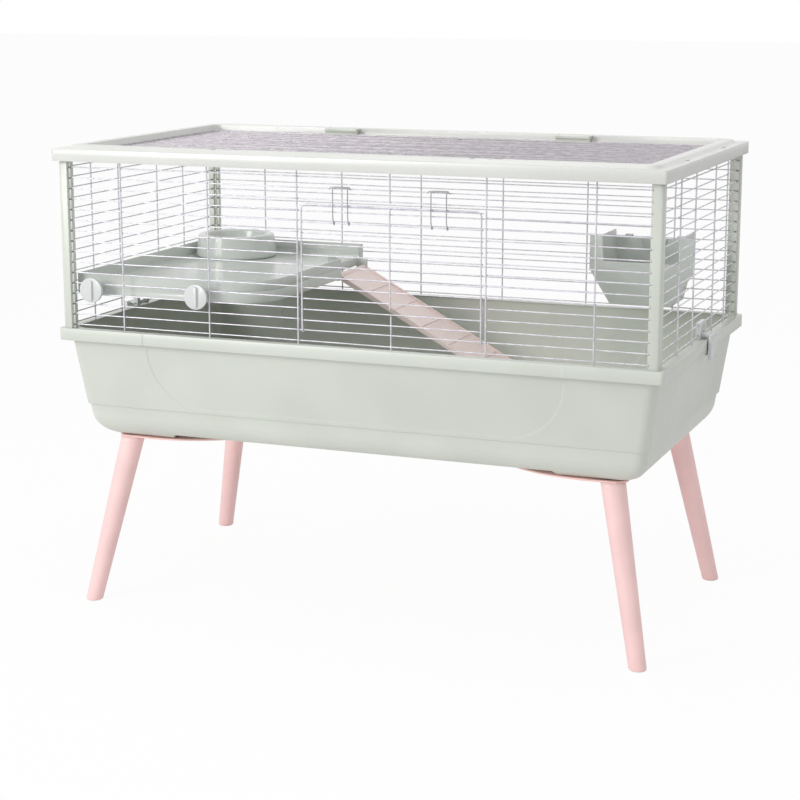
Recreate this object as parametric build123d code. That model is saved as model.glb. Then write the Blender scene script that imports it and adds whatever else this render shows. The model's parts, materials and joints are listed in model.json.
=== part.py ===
from build123d import *
from math import cos, radians, sin, tan
import os

# Guinea pig cage: a plastic tub on four splayed legs, a wire cage with corner posts, a roof frame
# with a hinged wire lid, a front wire door and removable fittings inside.
# Millimetres, +X to the right, +Y to the back, +Z up, origin on the floor under the cage's centre.

# Tub and its rim
rim_length = 1000.0
rim_depth = 541.0
rim_top = 462.0
rim_skirt = 19.4
rim_plate = 2.2
rim_wall = 2.2
rim_corner = 7.0
rim_ledge_length = 16.5
rim_ledge_depth = 16.0
rim_ledge_corner = 30.0
tub_gap_to_rim = 9.6
tub_wall = 2.6
tub_draft = 7.6
tub_corner = 18.0
tub_bottom = 279.0
tub_bottom_bend = 43.0
step_above_bottom = 54.7
step_inset = 3.0
step_drop = 0.6
bend_steps = 11
relief_height = 10.0
relief_half_length = 320.0
relief_slope = 10.0
boss_radius = 5.0
boss_height = 9.0

# Legs and their brackets
leg_top_x = 409.0
leg_top_y = 198.0
leg_foot_x = 466.5
leg_foot_y = 244.0
leg_top_diameter = 38.0
leg_foot_diameter = 27.0
leg_overrun = 30.0
foot_rounding = 3.0
bracket_thickness = 2.4
bracket_outer = 432.0
bracket_half_width = 214.0
bracket_corner = 14.0
bracket_shoulder = 400.0
bracket_reach = 157.0
bolt_radius = 4.0
bolt_head_radius = 7.5
bolt_head_height = 1.4
bolt_length = 40.0
screw_x = 372.0
screw_y = 105.0
screw_radius = 2.0
screw_head_radius = 5.0
screw_head_height = 2.5
screw_clearance = 0.2

# Roof frame
frame_length = 997.6
frame_depth = 554.2
frame_top = 750.7
frame_skirt = 19.2
frame_plate = 2.2
frame_wall = 2.0
frame_corner = 5.0
raised_height = 4.8
raised_margin_length = 15.0
raised_margin_depth = 16.0
raised_corner = 24.0
raised_bevel = 45.0
opening_length = 926.4
opening_depth = 466.2
opening_corner = 10.0
inner_wall = 2.2
seat_width = 4.0
seat_thickness = 2.0
ledge_slot_out = 487.0
ledge_slot_y = (-108.0, 137.0)
ledge_slot_length = 22.0
ledge_slot_width = 4.0

# Corner posts
post_length_inset = 8.0
post_depth_inset = 3.5
post_size = 15.0
post_wall = 1.8
post_corner = 5.0
comb_reach = 4.0
comb_thickness = 9.0
notch_height = 2.6

# Wire panels
row_wire = 1.0
upright_wire = 1.25
weld_depth = 0.4
row_count = 17
row_pitch = 16.85
top_row_drop = 13.05
row_inset_length = 7.0
row_inset_depth = 9.0
front_uprights_left = (-384.5, -232.0)
front_upright_right = 392.0
door_centre = 73.0
door_bay = 305.0
back_uprights = (-381.25, -228.75, -76.25, 76.25, 228.75, 381.25)
side_uprights = (-141.0, -45.5, 88.0, 176.0)
door_top_row = 3
door_hinge_row = 15
stub_top = 513.7

# Front door and its latches
hinge_clearance = 0.1
door_eye_wire = 1.4
door_side_gap = 7.3
door_corner = 8.0
door_top_gap = 8.1
door_double_gap = 2.4
door_row_drop = 1.5
door_wire_overhang = 2.0
centre_wire_below = 8.0
latch_wire = 0.9
latch_spacing = 158.3
latch_width = 24.5
latch_row = 5
latch_catch_row = 2
latch_clearance = 0.3
latch_stand_off = 5.0
latch_bend_height = 9.0
latch_overreach = 3.0
latch_ear = 5.5

# Roof lid, its hinges and its tabs
lid_wire = 1.5
lid_side_gap = 1.2
lid_wire_below_top = 10.5
lid_back_inset = 11.1
lid_corner = 9.0
lid_row_count = 26
lid_cross_wires = (-299.0, -140.5, 12.8, 168.8, 302.9)
lid_cross_overhang = 1.4
lid_seat_gap = 0.3
roof_fitting_x = 212.0
hinge_width = 60.0
hinge_slot_gap = 1.0
hinge_back_reach = 28.0
hinge_front_reach = 7.0
hinge_wall = 1.7
hinge_barrel_gap = 0.3
tab_width = 30.0
tab_reach = 23.0
tab_thickness = 3.6
tab_recess_side = 2.2
tab_wedge = 15.0
tab_rise = 0.5
recess_back_gap = 2.2
recess_block_wall = 3.0

# Resting platform inside the cage
platform_left = 476.0
platform_half_depth = 245.0
platform_right = 145.0
platform_back_right = 182.0
platform_step_front = 60.0
platform_step_back = 96.0
platform_corner = 80.0
platform_top = 550.0
platform_height = 35.0
platform_floor_drop = 21.0
platform_wall = 2.5
groove_height = 1.2
groove_depth = 0.8
groove_drop = 17.0
back_groove_length = 190.0
knob_x = (-436.7, -249.7)
knob_row = 12
knob_diameter = 39.5
knob_thickness = 5.0
knob_back_gap = 8.5
grip_width = 7.0
grip_length = 33.0
grip_height = 3.5
knob_shaft_radius = 5.0
knob_collar_radius = 8.0
knob_collar_thickness = 2.0
knob_collar_gap = 0.3

# Bowl
bowl_x = -395.0
bowl_y = 167.0
bowl_base_radius = 72.5
bowl_rim_radius = 67.0
bowl_mouth_radius = 53.0
bowl_floor_radius = 46.0
bowl_height = 40.0
bowl_floor = 6.0
bowl_round = 6.0

# Ramp
ramp_width = 118.0
ramp_front = 102.0
ramp_slope = 28.6
ramp_thickness = 4.0
ramp_rim_width = 3.0
ramp_rim_height = 4.0
ramp_rib_count = 7
ramp_rib_length = 3.0
ramp_rib_height = 1.6
ramp_floor_gap = 0.3
ramp_pivot_out = 11.0
ramp_pivot_drop = 4.0
ramp_pin_radius = 3.0
ramp_barrel_wall = 2.4
ramp_fit = 0.05
ramp_side_gap = 1.0
ear_thickness = 4.0
ear_margin = 3.0

# Hay rack
rack_x = 349.0
rack_half_top = 69.0
rack_half_middle = 65.5
rack_half_bottom = 52.0
rack_wing = 19.0
rack_bottom = 483.0
rack_taper_rise = 57.0
rack_height = 115.0
rack_front_height = 71.0
rack_back_height = 102.0
rack_depth = 90.0
rack_gap_to_wires = 2.0
rack_wall = 2.5
rack_hook_x = 45.0
rack_hook_width = 12.0
rack_hook_row = 9
rack_hook_gap = 0.4
rack_hook_drop = 6.0
rack_tab_radius = 22.0

# Clips that hold the cage to the tub
clip_y = 23.5
clip_length = 40.0
clip_cheek = 8.0
clip_cheek_gap = 0.4
holder_half_thickness = 4.0
holder_top_margin = 3.6
holder_bottom_margin = 4.0
holder_hole_gap = 0.3
holder_groove_width = 3.0
holder_groove_depth = 1.2
clip_barrel_wall = 2.1
clip_arm_thickness = 4.0
clip_stand_off = 2.0
clip_plate_thickness = 5.0
clip_plate_below = 12.6
clip_catch_gap = 2.4
clip_catch_depth = 2.8
clip_catch_thickness = 3.0

# Heights and planes that several pieces share
rim_under = rim_top - rim_plate
frame_under = frame_top - frame_plate
raised_top = frame_top + raised_height
post_half_length = rim_length / 2 - post_length_inset
post_half_depth = rim_depth / 2 - post_depth_inset
row_half_length = post_half_length - row_inset_length
row_half_depth = post_half_depth - row_inset_depth
upright_offset = row_wire + upright_wire - weld_depth
row_heights = [frame_top - top_row_drop - row_pitch * row for row in range(row_count)]


def box_between(x, y, z):
    """A block from its low to its high limit on each axis."""
    size = Box(x[1] - x[0], y[1] - y[0], z[1] - z[0])
    return Pos((x[0] + x[1]) / 2, (y[0] + y[1]) / 2, (z[0] + z[1]) / 2) * size


def slab(half_length, half_depth, corner, low, high):
    """A plate with rounded corners, centred on the origin's vertical."""
    outline = Pos(0, 0, low) * RectangleRounded(2 * half_length, 2 * half_depth, corner)
    return extrude(outline, amount=high - low)


def prism_along_y(points, low, high):
    """A profile drawn in X and Z, pushed along Y."""
    outline = make_face(Polyline(*[(x, low, z) for x, z in points], close=True))
    return extrude(outline, amount=high - low, dir=(0, 1, 0))


def rod_x(low, high, y, z, radius):
    return Pos((low + high) / 2, y, z) * Rot(0, 90, 0) * Cylinder(radius, high - low)


def rod_y(x, low, high, z, radius):
    return Pos(x, (low + high) / 2, z) * Rot(90, 0, 0) * Cylinder(radius, high - low)


def rod_z(x, y, low, high, radius):
    return Pos(x, y, (low + high) / 2) * Cylinder(radius, high - low)


def bent_wire(points, radius):
    """Straight lengths of wire with a ball at each bend."""
    pieces = []
    for start, end in zip(points[:-1], points[1:]):
        run = Vector(*end) - Vector(*start)
        frame = Plane(origin=start, z_dir=run)
        lengthwise = Cylinder(radius, run.length, align=(Align.CENTER, Align.CENTER, Align.MIN))
        pieces.append(frame * lengthwise)
    for bend in points[1:-1]:
        pieces.append(Pos(*bend) * Sphere(radius))
    return pieces


def weld(pieces):
    return pieces[0] + pieces[1:]


def eye_around_x(x, y, z, inner, radius):
    """A closed wire eye whose hole runs along X."""
    return Pos(x, y, z) * Rot(0, 90, 0) * Torus(inner + radius, radius)


def export(shape, name):
    export_step(shape, "parts/" + name + ".step")


# Tub

def tub_stack(inward):
    """Ruled sections of the tub, each moved inward by a wall's thickness."""
    lean = tan(radians(tub_draft))
    side = inward / cos(radians(tub_draft))
    top_z = rim_top - rim_plate / 2
    step_z = tub_bottom + step_above_bottom
    top_x = rim_length / 2 - tub_gap_to_rim
    top_y = rim_depth / 2 - tub_gap_to_rim
    step_x = top_x - (top_z - step_z) * lean
    step_y = top_y - (top_z - step_z) * lean
    low_x = step_x - step_inset
    low_y = step_y - step_inset
    bend_z = tub_bottom + tub_bottom_bend
    bend_x = low_x - (step_z - bend_z) * lean - tub_bottom_bend / cos(radians(tub_draft))
    bend_y = low_y - (step_z - bend_z) * lean - tub_bottom_bend / cos(radians(tub_draft))
    bend_radius = tub_bottom_bend - inward
    places = [
        (top_x - side, top_y - side, top_z),
        (step_x - side, step_y - side, step_z),
        (low_x - side, low_y - side, step_z - step_drop),
    ]
    for step in range(bend_steps + 1):
        turn = radians(tub_draft + (90 - tub_draft) * step / bend_steps)
        out = bend_radius * cos(turn)
        places.append((bend_x + out, bend_y + out, bend_z - bend_radius * sin(turn)))
    corner = tub_corner - inward
    sections = []
    for half_x, half_y, z in reversed(places):
        sections.append(Pos(0, 0, z) * RectangleRounded(2 * half_x, 2 * half_y, corner))
    return loft(sections, ruled=True)


def floor_relief(inward):
    """The raised middle of the tub's bottom, between its two end pads."""
    low = tub_bottom - relief_height
    high = tub_bottom + relief_height + inward
    wide = relief_half_length + relief_slope + inward
    narrow = relief_half_length + inward
    profile = [(-wide, low), (wide, low), (wide, tub_bottom), (narrow, high), (-narrow, high), (-wide, tub_bottom)]
    return prism_along_y(profile, -rim_depth / 2, rim_depth / 2)


def make_tray():
    half_x = rim_length / 2
    half_y = rim_depth / 2
    rim = slab(half_x, half_y, rim_corner, rim_top - rim_skirt, rim_top)
    rim -= slab(half_x - rim_wall, half_y - rim_wall, rim_corner - rim_wall, rim_top - rim_skirt, rim_under)
    shell = tub_stack(0) - floor_relief(0)
    hollow = tub_stack(tub_wall) - floor_relief(tub_wall)
    for x in (-screw_x, screw_x):
        for y in (-screw_y, screw_y):
            hollow -= rod_z(x, y, tub_bottom, tub_bottom + tub_wall + boss_height, boss_radius)
    mouth = slab(half_x - rim_ledge_length, half_y - rim_ledge_depth, rim_ledge_corner, rim_under - 1, rim_top + 1)
    tray = rim + shell
    tray -= hollow
    tray -= mouth
    for x in (-screw_x, screw_x):
        for y in (-screw_y, screw_y):
            tray -= rod_z(x, y, tub_bottom, screw_tip, screw_radius)
    return tray


# Legs and brackets

bracket_under = tub_bottom - bracket_thickness
screw_tip = tub_bottom + boss_height
leg_tops = {
    "front_left": (-1, -1),
    "front_right": (1, -1),
    "back_left": (-1, 1),
    "back_right": (1, 1),
}


def leg_cone(side_x, side_y):
    """A tapered leg on its slanted axis, cut level at both ends."""
    foot = Vector(side_x * leg_foot_x, side_y * leg_foot_y, 0)
    top = Vector(side_x * leg_top_x, side_y * leg_top_y, bracket_under)
    axis = top - foot
    length = axis.length + 2 * leg_overrun
    widening = (leg_top_diameter - leg_foot_diameter) / 2 / axis.length
    start_radius = leg_foot_diameter / 2 - widening * leg_overrun
    end_radius = leg_top_diameter / 2 + widening * leg_overrun
    start = foot - axis.normalized() * leg_overrun
    cone = Cone(start_radius, end_radius, length, align=(Align.CENTER, Align.CENTER, Align.MIN))
    leg = Plane(origin=start, z_dir=axis) * cone
    reach = 2 * leg_foot_x
    return leg & box_between((-reach, reach), (-reach, reach), (0, bracket_under))


def make_leg(side_x, side_y):
    leg = leg_cone(side_x, side_y)
    foot_edges = leg.edges().group_by(Axis.Z)[0]
    leg = fillet(foot_edges, foot_rounding)
    return leg - leg_bolt_hole(side_x, side_y, bolt_radius)


def leg_bolt_hole(side_x, side_y, radius):
    low = tub_bottom - bolt_head_height - bolt_length
    return rod_z(side_x * leg_top_x, side_y * leg_top_y, low, tub_bottom, radius)


def make_leg_bolt(side_x, side_y):
    head_low = tub_bottom - bolt_head_height
    head = rod_z(side_x * leg_top_x, side_y * leg_top_y, head_low, tub_bottom, bolt_head_radius)
    return leg_bolt_hole(side_x, side_y, bolt_radius) + head


def bracket_screw_hole(side_x, side_y, radius, top):
    return rod_z(side_x * screw_x, side_y * screw_y, bracket_under, top, radius)


def make_bracket_screw(side_x, side_y):
    shank = bracket_screw_hole(side_x, side_y, screw_radius, screw_tip)
    head_low = bracket_under - screw_head_height
    head = rod_z(side_x * screw_x, side_y * screw_y, head_low, bracket_under, screw_head_radius)
    return shank + head


def make_leg_bracket(side_x):
    """A thin plate with a round inner side, on the tops of its two legs."""
    outer = side_x * bracket_outer
    inner = side_x * (bracket_outer - bracket_corner)
    shoulder = side_x * bracket_shoulder
    wide = bracket_half_width
    narrow = bracket_half_width - bracket_corner
    outline = [
        Line((outer, -narrow), (outer, narrow)),
        Line((outer, narrow), (inner, wide)),
        Line((inner, wide), (shoulder, wide)),
        ThreePointArc((shoulder, wide), (side_x * bracket_reach, 0), (shoulder, -wide)),
        Line((shoulder, -wide), (inner, -wide)),
        Line((inner, -wide), (outer, -narrow)),
    ]
    plate = Pos(0, 0, bracket_under) * extrude(make_face(outline), amount=bracket_thickness, dir=(0, 0, 1))
    for side_y in (-1, 1):
        head_low = tub_bottom - bolt_head_height
        plate -= rod_z(side_x * leg_top_x, side_y * leg_top_y, head_low, tub_bottom, bolt_head_radius)
        plate -= leg_bolt_hole(side_x, side_y, bolt_radius)
        plate -= bracket_screw_hole(side_x, side_y, screw_radius + screw_clearance, tub_bottom)
    return plate


# Posts

def make_post(side_x, side_y):
    """A square tube with a toothed strip along each panel; the teeth leave room for the rows."""
    outer_x = post_half_length
    outer_y = post_half_depth
    inner_x = outer_x - post_size
    inner_y = outer_y - post_size
    tube = box_between((inner_x, outer_x), (inner_y, outer_y), (rim_top, frame_under))
    corner_edge = tube.edges().filter_by(Axis.Z).sort_by_distance((outer_x, outer_y, rim_top))[0]
    tube = fillet(corner_edge, post_corner)
    bore_x = (inner_x + post_wall, outer_x - post_wall)
    bore_y = (inner_y + post_wall, outer_y - post_wall)
    tube -= box_between(bore_x, bore_y, (rim_top, frame_under))
    half = comb_thickness / 2
    across_y = (row_half_depth - half, row_half_depth + half)
    across_x = (row_half_length - half, row_half_length + half)
    combs = box_between((inner_x - comb_reach, inner_x), across_y, (rim_top, frame_under))
    combs += box_between(across_x, (inner_y - comb_reach, inner_y), (rim_top, frame_under))
    notches = []
    for z in row_heights:
        span = (z - notch_height / 2, z + notch_height / 2)
        notches.append(box_between((inner_x - comb_reach, inner_x), across_y, span))
        notches.append(box_between(across_x, (inner_y - comb_reach, inner_y), span))
    post = tube + (combs - notches)
    if side_x < 0:
        post = mirror(post, about=Plane.YZ)
    if side_y < 0:
        post = mirror(post, about=Plane.XZ)
    return post


# Wire panels

def front_grid(low, high, rows, uprights):
    """Rows along X with uprights welded to their outer side."""
    y = -row_half_depth
    pieces = [rod_x(low, high, y, z, row_wire) for z in rows]
    for x, bottom, top in uprights:
        pieces.append(rod_z(x, y - upright_offset, bottom, top, upright_wire))
    return weld(pieces)


post_face = post_half_length - post_size
door_left = door_centre - door_bay / 2
door_right = door_centre + door_bay / 2
cut_left = door_left + upright_wire
cut_right = door_right - upright_wire


def make_front_panel_left():
    uprights = [(x, rim_top, frame_under) for x in front_uprights_left + (door_left,)]
    return front_grid(-post_face, cut_left, row_heights, uprights)


def make_front_panel_right():
    uprights = [(x, rim_top, frame_under) for x in (door_right, front_upright_right)]
    return front_grid(cut_right, post_face, row_heights, uprights)


def make_front_panel_top():
    rows = row_heights[: door_top_row + 1]
    uprights = [(door_centre, rows[-1] - upright_wire, frame_under)]
    return front_grid(cut_left, cut_right, rows, uprights)


def make_front_panel_bottom():
    """The rows under the door, with a short stub welded to their inner side."""
    rows = row_heights[door_hinge_row:]
    grid = front_grid(cut_left, cut_right, rows, [])
    return grid + rod_z(door_centre, -row_half_depth + upright_offset, rim_top, stub_top, upright_wire)


def make_back_panel():
    y = row_half_depth
    pieces = [rod_x(-post_face, post_face, y, z, row_wire) for z in row_heights]
    for x in back_uprights:
        pieces.append(rod_z(x, y + upright_offset, rim_top, frame_under, upright_wire))
    return weld(pieces)


def make_side_panel(side):
    """The left panel is the right one turned half a turn."""
    end = post_half_depth - post_size
    pieces = [rod_y(side * row_half_length, -end, end, z, row_wire) for z in row_heights]
    for y in side_uprights:
        x = side * (row_half_length + upright_offset)
        pieces.append(rod_z(x, side * y, rim_top, frame_under, upright_wire))
    return weld(pieces)


# Front door

hinge_z = row_heights[door_hinge_row]
door_eye = row_wire + hinge_clearance
door_side_left = door_left + door_side_gap
door_side_right = door_right - door_side_gap
door_wire_y = -row_half_depth - door_eye - door_eye_wire
door_row_y = door_wire_y + upright_offset
door_top = row_heights[door_top_row] - door_top_gap
latch_z = row_heights[latch_row] - door_row_drop


def make_front_door():
    """One bent wire with an eye at each foot, crossed by the door's rows."""
    corners = [
        (door_side_left, door_wire_y, hinge_z),
        (door_side_left, door_wire_y, door_top),
        (door_side_right, door_wire_y, door_top),
        (door_side_right, door_wire_y, hinge_z),
    ]
    path = FilletPolyline(*corners, radius=door_corner)
    loop = sweep(Plane(origin=corners[0], z_dir=(0, 0, 1)) * Circle(upright_wire), path=path)
    pieces = [loop]
    for x in (door_side_left, door_side_right):
        pieces.append(eye_around_x(x, -row_half_depth, hinge_z, door_eye, door_eye_wire))
    low = door_side_left - door_wire_overhang
    high = door_side_right + door_wire_overhang
    for z in row_heights[door_top_row + 1 : door_hinge_row]:
        pieces.append(rod_x(low, high, door_row_y, z - door_row_drop, row_wire))
    pieces.append(rod_x(low, high, door_row_y, door_top - door_double_gap, row_wire))
    centre_low = row_heights[door_hinge_row - 3] - door_row_drop - centre_wire_below
    pieces.append(rod_z(door_centre, door_wire_y, centre_low, door_top, upright_wire))
    return weld(pieces)


def make_door_latch(side):
    """A wire bail that turns on one of the door's rows and rests over a row of the panel."""
    half = latch_width / 2
    eye_inner = row_wire + hinge_clearance
    foot_y = door_row_y - eye_inner - latch_wire
    leg_y = door_row_y - latch_stand_off
    over_z = row_heights[latch_catch_row] + row_wire + latch_clearance + latch_wire
    back_y = -row_half_depth + latch_overreach
    pieces = [rod_x(-half, half, back_y, over_z, latch_wire)]
    pieces.append(rod_x(-half - latch_ear, half + latch_ear, leg_y, over_z, latch_wire))
    for x in (-half, half):
        bends = [
            (x, foot_y, latch_z),
            (x, leg_y, latch_z + latch_bend_height),
            (x, leg_y, over_z),
            (x, back_y, over_z),
        ]
        pieces += bent_wire(bends, latch_wire)
        pieces.append(Pos(*bends[-1]) * Sphere(latch_wire))
        pieces.append(eye_around_x(x, door_row_y, latch_z, eye_inner, latch_wire))
    return Pos(door_centre + side * latch_spacing / 2, 0, 0) * weld(pieces)


# Roof

lid_z = raised_top - lid_wire_below_top
lid_half_length = opening_length / 2 - lid_wire - lid_side_gap
lid_front_y = -(opening_depth / 2 - lid_wire - lid_side_gap)
lid_hinge_y = opening_depth / 2 - lid_back_inset
seat_top = lid_z - upright_offset - upright_wire - lid_seat_gap
barrel_outer = lid_wire + hinge_clearance + hinge_wall


def make_roof_frame():
    """A channel ring with a raised, bevelled strip round the lid and a narrow seat under it."""
    half_x = frame_length / 2
    half_y = frame_depth / 2
    open_x = opening_length / 2
    open_y = opening_depth / 2
    skirt_low = frame_top - frame_skirt
    wall_x = open_x + inner_wall
    wall_y = open_y + inner_wall
    ring = slab(half_x, half_y, frame_corner, skirt_low, frame_top)
    raised_x = half_x - raised_margin_length
    raised_y = half_y - raised_margin_depth
    base = Pos(0, 0, frame_top) * RectangleRounded(2 * raised_x, 2 * raised_y, raised_corner)
    ring += extrude(base, amount=raised_height, taper=raised_bevel)
    channel = slab(half_x - frame_wall, half_y - frame_wall, frame_corner - frame_wall, skirt_low, frame_under)
    ring -= channel
    inset = raised_height + frame_wall
    hollow = slab(raised_x - inset, raised_y - inset, raised_corner - inset, frame_under, raised_top - frame_plate)
    ring -= hollow
    wall_low = seat_top - seat_thickness
    ring += slab(wall_x, wall_y, opening_corner + inner_wall, wall_low, raised_top - frame_plate / 2)
    for fitting in (-roof_fitting_x, roof_fitting_x):
        ring += recess_block(fitting, -1)
        ring += recess_block(fitting, 1)
    ring -= slab(open_x, open_y, opening_corner, seat_top, raised_top + 1)
    seat_corner = opening_corner - seat_width
    ring -= slab(open_x - seat_width, open_y - seat_width, seat_corner, wall_low - 1, seat_top + 1)
    for fitting in (-roof_fitting_x, roof_fitting_x):
        ring -= tab_recess(fitting)
        ring -= hinge_recess(fitting)
    for side in (-1, 1):
        for y in ledge_slot_y:
            ring -= ledge_slot(side * ledge_slot_out, side * y)
    return ring


def ledge_slot(x, y):
    across = (x - ledge_slot_width / 2, x + ledge_slot_width / 2)
    along = (y - ledge_slot_length / 2, y + ledge_slot_length / 2)
    return box_between(across, along, (frame_under, raised_top))


def recess_block(x, side):
    """Solid bedding under a recess, so that it has a floor and walls."""
    half = hinge_width / 2 + recess_block_wall
    low = opening_depth / 2 + inner_wall / 2
    high = frame_depth / 2 - raised_margin_depth - raised_height
    y = (low, high) if side > 0 else (-high, -low)
    return box_between((x - half, x + half), y, (frame_under, raised_top - frame_plate / 2))


def tab_recess(x):
    low = x - tab_width / 2 - tab_recess_side
    high = x + tab_width / 2 + tab_recess_side
    front = lid_front_y - tab_reach - recess_back_gap
    back = lid_front_y + barrel_outer + hinge_barrel_gap
    cut = box_between((low, high), (front, back), (frame_top, raised_top + 1))
    inner = -(opening_depth / 2 + inner_wall)
    cut += box_between((low, high), (inner, back), (seat_top - seat_thickness - 1, raised_top + 1))
    wedge = [(high, frame_top), (high, raised_top + 1), (high + tab_wedge, raised_top + 1)]
    return cut + prism_along_y(wedge, front + tab_reach / 2, -(opening_depth / 2) + 1)


def hinge_recess(x):
    half = hinge_width / 2 + hinge_slot_gap
    back = lid_hinge_y + hinge_back_reach + hinge_slot_gap
    return box_between((x - half, x + half), (opening_depth / 2 - 1, back), (frame_top, raised_top + 1))


def make_roof_hinge(x):
    """A plate let into the frame, with a barrel round the lid's back wire."""
    half = hinge_width / 2
    across = (x - half, x + half)
    plate_low = frame_top
    reach = (lid_hinge_y - hinge_front_reach, lid_hinge_y + hinge_back_reach)
    plate = box_between(across, reach, (plate_low, raised_top))
    web = (lid_hinge_y - barrel_outer, lid_hinge_y + barrel_outer)
    hinge = plate + box_between(across, web, (lid_z, plate_low))
    hinge += rod_x(across[0], across[1], lid_hinge_y, lid_z, barrel_outer)
    return hinge - rod_x(across[0], across[1], lid_hinge_y, lid_z, lid_wire + hinge_clearance)


def make_roof_lid():
    """A closed frame of thick wire, with fine wires lengthwise and thicker ones across below them."""
    back = lid_hinge_y
    front = lid_front_y
    pieces = []
    for end in (-lid_half_length, lid_half_length):
        corners = [(0, front, lid_z), (end, front, lid_z), (end, back, lid_z), (0, back, lid_z)]
        path = FilletPolyline(*corners, radius=lid_corner)
        pieces.append(sweep(Plane(origin=corners[0], z_dir=(end, 0, 0)) * Circle(lid_wire), path=path))
    pitch = (back - front) / (lid_row_count + 1)
    for row in range(1, lid_row_count + 1):
        pieces.append(rod_x(-lid_half_length, lid_half_length, front + pitch * row, lid_z, row_wire))
    cross_z = lid_z - upright_offset
    for x in lid_cross_wires:
        pieces.append(rod_y(x, front - lid_cross_overhang, back, cross_z, upright_wire))
    return weld(pieces)


def make_roof_tab(x):
    """A half-round finger pad on a barrel round the lid's front wire."""
    half = tab_width / 2
    pad_low = frame_top + tab_rise
    pad_high = pad_low + tab_thickness
    front = lid_front_y - tab_reach
    straight = front + half
    outline = [
        Line((x - half, lid_front_y), (x - half, straight)),
        ThreePointArc((x - half, straight), (x, front), (x + half, straight)),
        Line((x + half, straight), (x + half, lid_front_y)),
        Line((x + half, lid_front_y), (x - half, lid_front_y)),
    ]
    tab = Pos(0, 0, pad_low) * extrude(make_face(outline), amount=tab_thickness, dir=(0, 0, 1))
    web = (lid_front_y - barrel_outer, lid_front_y + barrel_outer)
    tab += box_between((x - half, x + half), web, (lid_z, pad_high))
    tab += rod_x(x - half, x + half, lid_front_y, lid_z, barrel_outer)
    return tab - rod_x(x - half, x + half, lid_front_y, lid_z, lid_wire + hinge_clearance)


# Platform

platform_bottom = platform_top - platform_height
platform_floor = platform_top - platform_floor_drop
knob_z = (row_heights[knob_row] + row_heights[knob_row + 1]) / 2
ramp_back = ramp_front + ramp_width
pivot_x = -platform_back_right + ramp_pivot_out
pivot_z = platform_bottom - ramp_pivot_drop
ear_front = ramp_front - ramp_side_gap - ear_thickness
ear_back = ramp_back + ramp_side_gap + ear_thickness


def platform_outline(inward):
    corners = [
        (-platform_left, -platform_half_depth),
        (-platform_right, -platform_half_depth),
        (-platform_right, platform_step_front),
        (-platform_back_right, platform_step_back),
        (-platform_back_right, platform_half_depth),
        (-platform_left, platform_half_depth),
    ]
    outline = make_face(Polyline(*corners, close=True))
    rounded = outline.vertices().sort_by_distance((-platform_right, -platform_half_depth, 0))[0]
    outline = fillet(rounded, platform_corner)
    if inward:
        outline = offset(outline, amount=-inward, kind=Kind.INTERSECTION)
    return outline


def platform_slab(inward, low, high):
    return Pos(0, 0, low) * extrude(platform_outline(inward), amount=high - low, dir=(0, 0, 1))


def make_platform():
    """A shallow tray with a skirt, cut down at its right for the ramp."""
    platform = platform_slab(0, platform_bottom, platform_top)
    platform -= platform_slab(platform_wall, platform_floor, platform_top)
    platform -= platform_slab(platform_wall, platform_bottom, platform_floor - platform_wall)
    groove_low = platform_top - groove_drop
    groove = platform_slab(0, groove_low, groove_low + groove_height)
    platform -= groove - platform_slab(groove_depth, groove_low, groove_low + groove_height)
    gap_x = (-platform_back_right - platform_wall, -platform_back_right)
    platform -= box_between(gap_x, (ear_front, ear_back), (platform_floor, platform_top))
    slot_low = platform_floor + platform_wall * 2
    slot_x = (-platform_back_right - platform_wall - back_groove_length, -platform_back_right - 3 * platform_wall)
    slot_y = (platform_half_depth - platform_wall, platform_half_depth - platform_wall + groove_depth)
    platform -= box_between(slot_x, slot_y, (slot_low, slot_low + groove_height * 2))
    for low in (ear_front, ear_back - ear_thickness):
        ear_x = (-platform_back_right - platform_wall, pivot_x + ramp_pin_radius + ear_margin)
        ear_z = (pivot_z - ramp_pin_radius - ear_margin, platform_floor - platform_wall)
        platform += box_between(ear_x, (low, low + ear_thickness), ear_z)
    platform -= rod_y(pivot_x, ear_front, ear_back, pivot_z, ramp_pin_radius)
    for x in knob_x:
        front = -platform_half_depth
        platform -= rod_y(x, front, front + platform_wall, knob_z, knob_shaft_radius + hinge_clearance)
    return platform


def make_platform_knob(x):
    """A round grip outside the wires, on a shaft through the platform's front wall."""
    disc_back = -row_half_depth - upright_offset - upright_wire - knob_back_gap + row_wire
    disc_front = disc_back - knob_thickness
    knob = rod_y(x, disc_front, disc_back, knob_z, knob_diameter / 2)
    grip_x = (x - grip_width / 2, x + grip_width / 2)
    grip_z = (knob_z - grip_length / 2, knob_z + grip_length / 2)
    grip = box_between(grip_x, (disc_front - grip_height, disc_front), grip_z)
    knob += fillet(grip.edges().filter_by(Axis.Y), grip_width / 2 - 0.2)
    shaft_end = -platform_half_depth + platform_wall
    knob += rod_y(x, disc_back, shaft_end, knob_z, knob_shaft_radius)
    stop_front = -platform_half_depth - knob_collar_gap - knob_collar_thickness
    knob += rod_y(x, stop_front, stop_front + knob_collar_thickness, knob_z, knob_collar_radius)
    return knob


def make_food_bowl():
    """Turned about its own axis: a sloping outer wall, a thick rim and a shallow well."""
    base = platform_floor
    top = base + bowl_height
    profile = [
        (0, base),
        (bowl_base_radius, base),
        (bowl_rim_radius, top),
        (bowl_mouth_radius, top),
        (bowl_floor_radius, base + bowl_floor),
        (0, base + bowl_floor),
    ]
    section = make_face(Polyline(*[(radius, 0, z) for radius, z in profile], close=True))
    bowl = revolve(section, Axis.Z, 360)
    top_edges = bowl.edges().group_by(Axis.Z)[-1]
    bowl = fillet(top_edges, bowl_round)
    return Pos(bowl_x, bowl_y, 0) * bowl


# Ramp

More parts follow.
